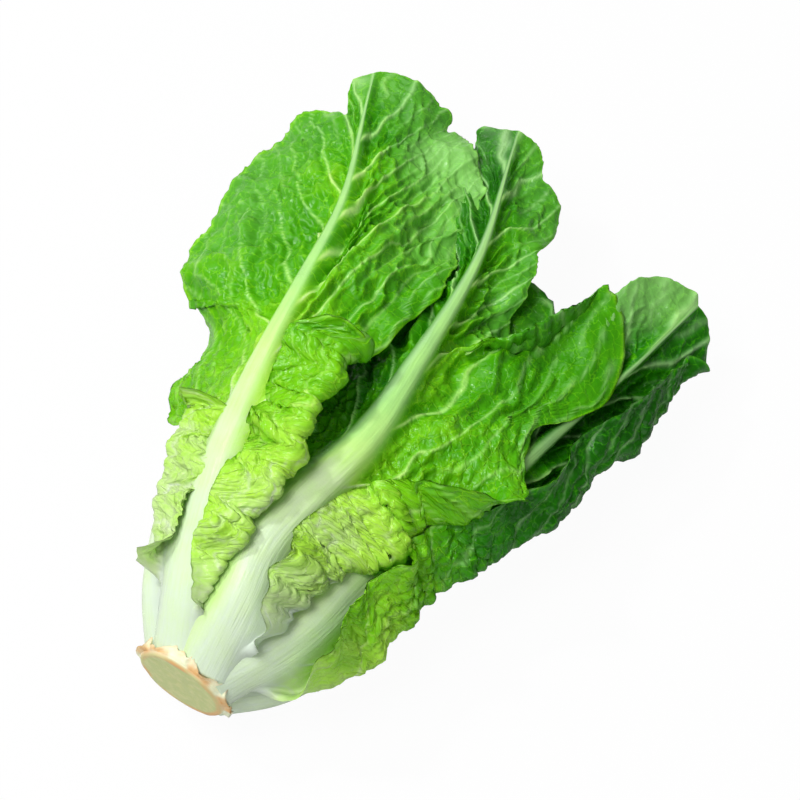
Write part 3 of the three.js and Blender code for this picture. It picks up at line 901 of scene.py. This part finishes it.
@dataclass
class Stem:
    """The stem: a turned body sliced across its foot, with a torn collar where old leaves were pulled off.

    profile and collar are outlines of (place along the axis, radius), mm.
    """

    profile: tuple = (
        (0, 17.4), (0.4, 18.6), (1.4, 19.4), (3, 19.3), (5, 18), (9, 16.5), (18, 15.5), (30, 14), (44, 10),
        (55, 7), (68, 4.5), (73, 3), (74, 0),
    )
    collar: tuple = (
        (1.2, 18.2), (1.4, 19.6), (3, 20.0), (5, 20.9), (7, 21.9), (7.1, 21.4), (5, 20.2), (3, 19.4),
        (1.4, 18.4),
    )
    turns: int = 288
    wide: float = 1.06
    high: float = 0.99

    def mesh(self) -> bpy.types.Mesh:
        """Spins the profile and roughens it.

        Returns:
            The stem's mesh with the attributes brown and sliced.
        """
        bm = bmesh.new()
        foot = [(0.0, r) for r in np.linspace(0, self.profile[0][1], 14)]
        body_y = np.array([p[0] for p in self.profile])
        body_r = np.array([p[1] for p in self.profile])
        fine = np.unique(np.concatenate([body_y, np.linspace(0, body_y[-1], 60)]))
        points = foot + [(y, float(np.interp(y, body_y, body_r))) for y in fine[1:]]
        for outline, closed in ((points, False), (self.collar, True)):
            line = [bm.verts.new((r, y, 0)) for y, r in outline]
            after = line[1:] + line[:1] if closed else line[1:]
            edges = [bm.edges.new(pair) for pair in zip(line, after)]
            bmesh.ops.spin(
                bm, geom=line + edges, cent=(0, 0, 0), axis=(0, 1, 0), angle=math.tau, steps=self.turns,
                use_merge=True,
            )
        bmesh.ops.remove_doubles(bm, verts=bm.verts, dist=0.001)
        bmesh.ops.recalc_face_normals(bm, faces=bm.faces)
        for face in bm.faces:
            face.smooth = True
        mesh = bpy.data.meshes.new("stem_look")
        bm.to_mesh(mesh)
        bm.free()
        co = np.empty(len(mesh.vertices) * 3)
        mesh.vertices.foreach_get("co", co)
        x, y, z = co.reshape(-1, 3).T
        r, angle = np.hypot(x, z), np.arctan2(x, z)
        noise = Ripple(501)
        lumps = noise.at(angle * 3 / math.pi * 2 + 12, y / 7)
        lumps = lumps + 0.5 * noise.at(angle * 7 / math.pi * 2 + 30, y / 3)
        foot_share = np.clip(r / self.profile[0][1], 0, 1)
        torn = noise.at(angle * 6 / math.pi * 2 + 44, 0 * y)
        torn = torn + 0.7 * noise.at(angle * 17 / math.pi * 2 + 9, 0 * y)
        collar = (y > 1.1) & (y < 7.3) & (r > np.interp(y, body_y, body_r) + 0.02)
        y = np.where(collar, 1.3 + (y - 1.3) * np.clip(0.36 + 0.5 * torn, 0.03, 1), y)
        on_face = smooth((1.0 - y) / 0.8)
        r = r * (1 + 0.03 * lumps * smooth(foot_share))
        y = y + on_face * 0.5 * noise.at(x / 5, z / 5) - 0.7 * on_face * smooth((foot_share - 0.82) / 0.18)
        blotch = 0.75 + 0.8 * noise.at(angle * 4 / math.pi * 2, 0 * y)
        rim = on_face * smooth((foot_share - 0.945) / 0.05) * blotch
        patches = smooth((noise.at(angle * 5 / math.pi * 2 + 3, y / 2) + 0.1) / 0.5)
        scars = smooth((4.5 - y) / 3) * (1 - on_face) * patches
        brown = np.clip(rim + 0.9 * scars + 0.3 * collar * smooth((y - 1.5) / 3), 0, 1)
        across, height = r * np.sin(angle) * self.wide, AXIS_HEIGHT + r * np.cos(angle) * self.high
        place = np.stack([across, np.maximum(y, 0.05), height], 1)
        mesh.vertices.foreach_set("co", to_world(place).ravel())
        for label, values in (("brown", brown), ("sliced", on_face)):
            layer = mesh.attributes.new(label, "FLOAT", "POINT")
            layer.data.foreach_set("value", values.astype(np.float32))
        mesh.update()
        return mesh


class Head:
    """The stem and all the leaves, with the sizes of each spread leaf and of those that the head lies on."""

    spread = (
        SpreadLeaf(
            "leaf_left", 11, 300, 78, skew=1.9,
            # Painted sheen mostly over the right lobe; painted light on the left blade and, more, on the left
            # lower strip.
            painted_sheen=(0.2, 1.0), shade=(-0.05, -0.01), low_shade=(-0.08, 0.0),
            painted_sheen_along=((0, 0), (0.56, 0), (0.68, 1), (0.8, 1), (0.88, 0.25), (1, 0.3)),
            spine=((-7, 2.5, 53), (-18, 31, 71), (-31, 77, 84), (-40, 118, 87), (-48, 160, 85),
                   (-59, 208, 78), (-84, 264, 65)),
            facing=((0, -24), (0.3, -28), (0.6, -22), (1, -10)),
            right=Side(
                width=((0, 13), (0.06, 14), (0.09, 22), (0.13, 38), (0.18, 50), (0.3, 64), (0.4, 68),
                       (0.46, 62), (0.49, 42), (0.52, 50), (0.56, 68), (0.61, 75), (0.7, 80), (0.78, 73),
                       (0.83, 66), (0.855, 56), (0.87, 58), (0.9, 51), (0.94, 38), (0.97, 30), (1, 18)),
                turn=((0, -5, -22, -30, 0, 0.5), (0.05, -15, -30, -20, 0, 0.62),
                      (0.09, -25, -20, 0, 140, 0.66), (0.13, -25, -10, 0, 165, 0.56),
                      (0.3, -25, -12, 0, 170, 0.6), (0.42, -30, -8, 0, 165, 0.6),
                      (0.465, -35, -15, 0, 120, 0.7), (0.5, -30, -30, -15, 0, 0.85),
                      (0.58, 12, -38, -10, 0, 0.9), (0.7, 22, -42, -8, 0, 0.9), (0.83, 10, -40, 0, 0, 0.9),
                      (0.9, -20, -25, 0, 0, 0.9), (1, -10, 0, 0, 0, 0.6)),
                sweep=((0, 0, 0), (0.2, 12, 16), (0.42, 25, 8), (0.5, 14, 12), (0.54, 29, 29),
                       (0.6, 38, 38), (0.7, 46, 46), (0.86, 46, 46), (0.9, 50, 50), (0.94, 60, 60),
                       (1, 90, 90)),
            ),
            left=Side(
                width=((0, 13), (0.08, 20), (0.14, 34), (0.2, 44), (0.3, 47), (0.345, 45), (0.365, 36),
                       (0.38, 50), (0.4, 70), (0.44, 80), (0.48, 78), (0.52, 72), (0.55, 74), (0.6, 74),
                       (0.65, 77), (0.72, 80), (0.79, 74), (0.83, 65), (0.865, 40), (0.89, 25), (0.93, 27),
                       (0.98, 22), (1, 18)),
                turn=((0, -5, -25, -40, 0, 0.5), (0.08, -25, -35, -20, 0, 0.5),
                      (0.15, -25, -10, 0, 180, 0.54), (0.3, -24, -4, 0, 190, 0.52),
                      (0.345, -28, -10, 0, 188, 0.54), (0.365, -32, -22, 0, 50, 0.7),
                      (0.38, -38, -26, -15, 0, 0.8), (0.47, -38, -26, -15, 0, 0.8),
                      (0.53, -32, -8, -20, 0, 0.8), (0.65, -28, -2, -15, 0, 0.8),
                      (0.8, -28, -5, -20, 0, 0.8), (1, -10, 0, 0, 0, 0.6)),
                sweep=((0, 0, 0), (0.2, 12, 10), (0.345, 12, 5), (0.4, 5, -8), (0.44, 12, 8), (0.5, 16, 14),
                       (0.56, 10, 6), (0.64, 18, 16), (0.72, 32, 32), (0.83, 56, 56), (0.89, 70, 70),
                       (0.98, 66, 66), (1, 90, 90)),
                ruffle=((0, 0), (0.07, 2), (0.12, 18), (0.3, 24), (0.36, 16), (0.45, 14), (1, 10)),
                lobes=((0, 0), (0.08, 0), (0.13, 5), (0.36, 5), (0.42, 1.2), (1, 1.2)),
            ),
        ),
        SpreadLeaf(
            "leaf_middle", 22, 300, 78, skew=1.3,
            # Painted shade on the left blade and the rib's left flank, which leaf_left shades; painted light
            # on the lower right strip.
            painted_sheen=(0.15, 0.2), shade=(0.16, 0.0), low_shade=(0.2, -0.03),
            # The paler tone near the foot is partly painted light, for the lower right strip that faces away
            # from the lamps.
            tone=((0, 0.02), (0.08, 0.1), (0.13, 0.17), (0.28, 0.42), (0.4, 0.64), (0.5, 0.72),
                  (0.75, 0.75), (1, 0.78)),
            rib_tone=((0, 0.02), (0.2, 0.08), (0.32, 0.15), (0.42, 0.37), (0.5, 0.49), (0.7, 0.53),
                      (1, 0.57)),
            rib_half=((0, 17), (0.08, 16.5), (0.2, 14.5), (0.35, 11), (0.5, 7), (0.65, 4.2), (0.8, 2.3),
                      (1, 0.7)),
            rib_rise=((0, 0.3), (0.1, 2), (0.3, 3.2), (0.5, 2.2), (0.7, 1.1), (0.9, 0.5), (1, 0.1)),
            spine=((9, 2.5, 54), (9, 30, 72), (6, 54, 79), (9, 82, 81), (14, 116, 80), (12, 152, 79),
                   (3, 217, 70), (-17, 276, 58)),
            facing=((0, 12), (1, 10)),
            right=Side(
                width=((0, 15), (0.05, 16), (0.08, 26), (0.12, 46), (0.17, 62), (0.3, 76), (0.38, 72),
                       (0.43, 68), (0.46, 66), (0.5, 92), (0.53, 110), (0.555, 105), (0.58, 88), (0.6, 68),
                       (0.62, 46), (0.66, 38), (0.72, 36), (0.78, 32), (0.84, 44), (0.9, 33), (0.95, 30),
                       (1, 18)),
                turn=((0, -5, -22, -30, 0, 0.5), (0.04, -20, -30, -15, 0, 0.66),
                      (0.08, -32, -22, 0, 130, 0.66), (0.13, -35, -22, 0, 160, 0.52),
                      (0.3, -35, -15, 0, 165, 0.6), (0.37, -40, -5, -10, 120, 0.7),
                      (0.43, -45, 5, -25, 0, 0.8), (0.55, -45, 8, -25, 0, 0.8),
                      (0.62, -52, -20, -5, 0, 0.8), (0.9, -35, -10, 0, 0, 0.6), (1, -10, 0, 0, 0, 0.6)),
                sweep=((0, 0, 0), (0.1, 5, 0), (0.2, 12, 8), (0.38, 22, 20), (0.46, 30, 32), (0.5, 32, 34),
                       (0.53, 52, 56), (0.56, 60, 60), (0.58, 55, 54), (0.61, 45, 45), (0.72, 48, 48),
                       (0.8, 42, 40), (0.84, 46, 48), (0.9, 60, 60), (0.97, 71, 71), (1, 90, 90)),
                teeth=((0, 0), (0.06, 0.5), (0.1, 5), (0.38, 7.5), (0.44, 2), (1, 1.1)),
                lobes=((0, 0), (0.08, 0), (0.13, 7), (0.4, 9), (0.46, 1.5), (1, 1.2)),
            ),
            left=Side(
                width=((0, 16), (0.2, 40), (0.5, 56), (0.75, 44), (0.86, 42), (0.94, 38), (0.98, 23),
                       (1, 18)),
                turn=((0, -5, -25, -40, 0, 0.5), (0.1, -40, -40, -20, 0, 0.5), (0.3, -60, -30, -20, 0, 0.6),
                      (0.7, -60, -35, 0, 0, 0.6), (0.86, -50, -35, 0, 0, 0.6), (0.94, -35, -20, 0, 0, 0.6),
                      (1, -10, 0, 0, 0, 0.6)),
                sweep=((0, 0, 0), (0.2, 15, 10), (0.5, 32, 30), (0.66, 50, 46), (0.86, 62, 62),
                       (0.94, 60, 60), (1, 90, 90)),
                ruffle=((0, 0), (0.1, 4), (0.3, 10), (1, 9)),
            ),
        ),
        SpreadLeaf(
            # Painted sheen over the left half; painted shade deepening the right half's upper part.
            "leaf_right", 33, 270, 72, veins=9, painted_sheen=(1.0, 0.0), shade=(0.0, 0.05),
            tone=((0, 0.02), (0.08, 0.12), (0.14, 0.3), (0.25, 0.5), (0.38, 0.71), (0.5, 0.86),
                  (0.75, 0.92), (1, 0.84)),
            rib_tone=((0, 0.02), (0.25, 0.12), (0.4, 0.4), (0.6, 0.58), (0.8, 0.6), (1, 0.62)),
            spine=((18, 2.5, 47), (35, 38, 54), (42, 74, 57), (52, 104, 58), (64, 136, 56), (71, 172, 53),
                   (79, 218, 46), (82, 240, 43)),
            facing=((0, 55), (0.6, 55), (1, 40)),
            right=Side(
                width=((0, 13), (0.05, 15), (0.09, 34), (0.13, 54), (0.2, 64), (0.3, 62), (0.4, 55),
                       (0.5, 54), (0.6, 58), (0.75, 62), (0.84, 52), (0.9, 47), (0.95, 40), (1, 26)),
                turn=((0, -5, -25, -30, 0, 0.5), (0.04, -25, -35, -15, 0, 0.66),
                      (0.08, -15, -15, 0, 120, 0.66), (0.13, 0, 0, 0, 158, 0.46), (0.3, 5, 8, 0, 168, 0.46),
                      (0.4, 5, 8, 0, 168, 0.51), (0.5, 5, 8, 0, 165, 0.54), (0.75, 0, 8, 0, 160, 0.58),
                      (0.84, 0, 8, 0, 150, 0.66), (0.9, 0, 5, -10, 0, 0.8), (1, -10, 0, 0, 0, 0.6)),
                sweep=((0, 0, 0), (0.2, 15, 10), (0.5, 32, 28), (0.7, 45, 40), (0.84, 58, 55),
                       (0.92, 66, 66), (1, 90, 90)),
                ruffle=((0, 0), (0.07, 2), (0.12, 30), (0.3, 38), (0.42, 22), (0.55, 12), (1, 8)),
                lobes=((0, 0), (0.08, 0), (0.13, 4), (0.35, 4), (0.45, 1.5), (1, 1.2)),
            ),
            left=Side(
                width=((0, 14), (0.2, 42), (0.5, 52), (0.75, 54), (0.86, 50), (0.9, 50), (0.94, 43),
                       (0.98, 34), (1, 26)),
                turn=((0, -5, -25, -40, 0, 0.5), (0.1, -50, -50, -10, 0, 0.5), (0.3, -62, -55, -8, 0, 0.6),
                      (0.75, -60, -50, -5, 0, 0.6), (0.86, -45, -28, 0, 0, 0.6),
                      (0.94, -30, -15, 0, 0, 0.6), (1, -10, 0, 0, 0, 0.6)),
                sweep=((0, 0, 0), (0.2, 15, 10), (0.5, 32, 30), (0.75, 50, 48), (0.86, 54, 54),
                       (0.9, 62, 62), (0.94, 74, 74), (1, 90, 90)),
                ruffle=((0, 0), (0.1, 4), (0.3, 10), (1, 9)),
            ),
        ),
    )

    side_spread = (
        SpreadLeaf(
            "leaf_side_right", 44, 180, 48, veins=10,
            tone=((0, 0.0), (0.2, 0.1), (0.4, 0.3), (0.6, 0.5), (0.8, 0.6), (1, 0.66)),
            spine=((19, 2.5, 27), (36, 28, 18), (47, 60, 20), (56, 100, 21), (64, 150, 21), (73, 200, 20),
                   (81, 232, 20)),
            facing=((0, 104), (1, 116)),
            right=Side(
                width=((0, 12), (0.2, 40), (0.5, 50), (0.8, 46), (1, 20)),
                turn=((0, -45, -45, -30, 0, 0.6), (0.5, -55, -60, -30, 0, 0.6), (1, -20, -30, 0, 0, 0.6)),
                sweep=((0, 0, 0), (0.3, 22, 20), (0.6, 45, 42), (0.8, 62, 60), (1, 90, 90)),
            ),
            left=Side(
                width=((0, 12), (0.2, 36), (0.5, 46), (0.8, 44), (1, 20)),
                turn=((0, -45, -45, -30, 0, 0.6), (0.5, -45, -50, -30, 0, 0.6), (1, -20, -30, 0, 0, 0.6)),
                sweep=((0, 0, 0), (0.3, 22, 20), (0.6, 45, 42), (0.8, 62, 60), (1, 90, 90)),
            ),
        ),
        SpreadLeaf(
            "leaf_side_left", 55, 150, 40, veins=10,
            tone=((0, 0.0), (0.2, 0.1), (0.4, 0.3), (0.6, 0.5), (0.8, 0.6), (1, 0.66)),
            spine=((-18, 2.5, 40), (-37, 30, 42), (-54, 70, 42), (-67, 112, 38), (-80, 155, 33),
                   (-90, 198, 29), (-94, 232, 28)),
            facing=((0, -78), (1, -88)),
            right=Side(
                width=((0, 12), (0.2, 34), (0.5, 44), (0.8, 42), (1, 20)),
                turn=((0, -45, -45, -30, 0, 0.6), (0.5, -50, -55, -30, 0, 0.6), (1, -20, -30, 0, 0, 0.6)),
                sweep=((0, 0, 0), (0.3, 22, 20), (0.6, 45, 42), (0.8, 62, 60), (1, 90, 90)),
            ),
            left=Side(
                width=((0, 12), (0.2, 40), (0.5, 50), (0.8, 46), (1, 20)),
                turn=((0, -45, -45, -30, 0, 0.6), (0.5, -50, -60, -30, 0, 0.6), (1, -20, -30, 0, 0, 0.6)),
                sweep=((0, 0, 0), (0.3, 22, 20), (0.6, 45, 42), (0.8, 62, 60), (1, 90, 90)),
            ),
        ),
    )
    under = (
        WrappedLeaf(
            "leaf_under_middle", 61, 110, 30, layer=-5, turned=180, half_turn=58, tip=236, floor=-0.2,
        ),
        WrappedLeaf(
            "leaf_under_right", 62, 110, 30, layer=-3, turned=142, half_turn=72, tip=228, floor=-0.2,
        ),
        WrappedLeaf(
            "leaf_under_left", 63, 110, 30, layer=-1.4, turned=222, half_turn=74, tip=232, floor=-0.2,
        ),
    )

    @staticmethod
    def wrapped() -> list[WrappedLeaf]:
        """Works out the leaves folded round the stem.

        Returns:
            The wrapped leaves and then the heart's, outermost first.
        """
        flattened = (
            (0, 1, 1), (60, 1.05, 0.95), (100, 1.25, 0.75), (150, 1.45, 0.6), (217, 1.5, 0.42),
            (260, 1.5, 0.35),
        )
        leaves = []
        for layer in range(LAYERS):
            share = layer / LAYERS
            in_heart = layer >= WRAPPED_COUNT
            name = f"leaf_heart_{layer - WRAPPED_COUNT + 1}" if in_heart else f"leaf_wrap_{layer + 1}"
            leaves.append(
                WrappedLeaf(
                    name, 70 + layer, 92, 18 if in_heart else 26, layer=layer, turned=layer * GOLDEN_ANGLE,
                    half_turn=82 + 58 * share, tip=232 - 45 * share, shoulder=40 - 16 * share,
                    floor=0.6, spread=flattened,
                )
            )
        return leaves

    def build(self) -> None:
        """Adds the stem and every leaf to the scene."""
        outer = LeafFinish("outer_leaf").material()
        # Painted light: the leaves under the head get paler colours than the outer leaves, as they lie in the
        # head's shade.
        under = LeafFinish("under_leaf", shift=-0.1, cool=0.1).material()
        wrapped = LeafFinish("wrapped_leaf").material()
        heart = LeafFinish("heart_leaf", shift=-0.14).material()
        add_piece("stem_look", Stem().mesh(), StemFinish().material(), "stem")
        groups = (
            (self.spread + self.side_spread, outer, Slot.OUTER),
            (self.under, under, Slot.UNDER),
            (self.wrapped()[:WRAPPED_COUNT], wrapped, Slot.WRAPPED),
            (self.wrapped()[WRAPPED_COUNT:], heart, Slot.HEART),
        )
        for leaves, material, slot in groups:
            for leaf in leaves:
                name = f"{leaf.name}_look"
                add_piece(name, leaf.dressed().mesh(name), material, leaf.name)


@dataclass
class Studio:
    """A white floor, a white surround, soft lamps and the camera."""

    azimuth: float = 33.0
    elevation: float = 60.0
    distance: float = 1.1
    lens: float = 118.4
    target: tuple[float, float, float] = (6.24, 151.49, 49.17)
    lamp_distance: float = 1.6
    floor_side: float = 40.0

    def aim(self, thing: bpy.types.Object, azimuth: float, elevation: float, distance: float) -> None:
        """Puts a lamp or camera in place, looking at the goal.

        Args:
            thing: the lamp or camera.
            azimuth: degrees round the head from the side of its cut, rightwards positive.
            elevation: degrees above the floor.
            distance: metres from the goal.
        """
        turn, rise = math.radians(azimuth), math.radians(elevation)
        towards = Vector((math.sin(turn) * math.cos(rise), -math.cos(turn) * math.cos(rise), math.sin(rise)))
        place = self.goal() + towards * distance
        thing.location = place
        thing.rotation_euler = (self.goal() - place).to_track_quat("-Z", "Y").to_euler()

    def goal(self) -> Vector:
        """Gives the point that the camera looks at."""
        return Vector(to_world(np.array(self.target)))

    def camera(self) -> None:
        """Adds the camera."""
        data = bpy.data.cameras.new("camera")
        data.lens, data.sensor_width = self.lens, 36.0
        data.clip_end = 50.0
        camera = bpy.data.objects.new("camera", data)
        bpy.context.scene.collection.objects.link(camera)
        self.aim(camera, self.azimuth, self.elevation, self.distance)
        bpy.context.scene.camera = camera

    def lamp(self, name: str, azimuth: float, elevation: float, power: float, size: float) -> None:
        """Adds a soft square lamp.

        Args:
            name: its name.
            azimuth: degrees, counted as the camera's.
            elevation: degrees above the floor.
            power: watts.
            size: side in metres.
        """
        data = bpy.data.lights.new(name, "AREA")
        data.energy, data.shape, data.size = power, "SQUARE", size
        lamp = bpy.data.objects.new(name, data)
        bpy.context.scene.collection.objects.link(lamp)
        self.aim(lamp, azimuth, elevation, self.lamp_distance)

    def surround(self) -> None:
        """Makes the surround: white where the camera sees it, and a plain dim light elsewhere."""
        world = bpy.data.worlds.new("surround")
        bpy.context.scene.world = world
        n = Nodes(world)
        seen = n.add("ShaderNodeBackground", {}, {"Color": (1, 1, 1, 1)})
        lit = n.add("ShaderNodeBackground", {}, {"Color": (0.95, 0.98, 1.0, 1), "Strength": 0.18})
        path = n.add("ShaderNodeLightPath", {}, {}, "Is Camera Ray")
        mixed = n.add("ShaderNodeMixShader", {}, {0: path, 1: lit, 2: seen})
        n.add("ShaderNodeOutputWorld", {}, {"Surface": mixed})

    def floor(self) -> None:
        """Adds the pale floor, which keeps the head's shadow."""
        bm = bmesh.new()
        bmesh.ops.create_grid(bm, x_segments=1, y_segments=1, size=self.floor_side / 2)
        mesh = bpy.data.meshes.new("floor")
        bm.to_mesh(mesh)
        bm.free()
        n = Nodes(bpy.data.materials.new("floor"))
        path = n.add("ShaderNodeLightPath", {}, {}, "Is Camera Ray")
        matt = n.add("ShaderNodeBsdfDiffuse", {}, {"Color": (0.7, 0.7, 0.7, 1)})
        white = n.add("ShaderNodeEmission", {}, {"Color": (1, 1, 1, 1), "Strength": 1.0})
        mesh.materials.append(n.finish(n.add("ShaderNodeMixShader", {}, {0: path * 0.96, 1: matt, 2: white})))
        floor = bpy.data.objects.new("floor", mesh)
        bpy.context.scene.collection.objects.link(floor)

    def build(self) -> None:
        """Sets up everything but the head."""
        self.floor()
        self.surround()
        self.lamp("key", self.azimuth - 62, 66, 17.0, 0.7)
        self.lamp("glint", self.azimuth - 115, 55, 10.0, 0.15)
        self.lamp("back", self.azimuth - 165, 40, 7.0, 0.9)
        self.lamp("front", self.azimuth + 15, 40, 5.0, 1.0)
        self.camera()
        bpy.context.scene.view_settings.view_transform = "Standard"


def main() -> None:
    """Builds the head and the studio round it."""
    logging.basicConfig(level=logging.INFO)
    Head().build()
    Studio().build()


if __name__ == "__main__":
    main()
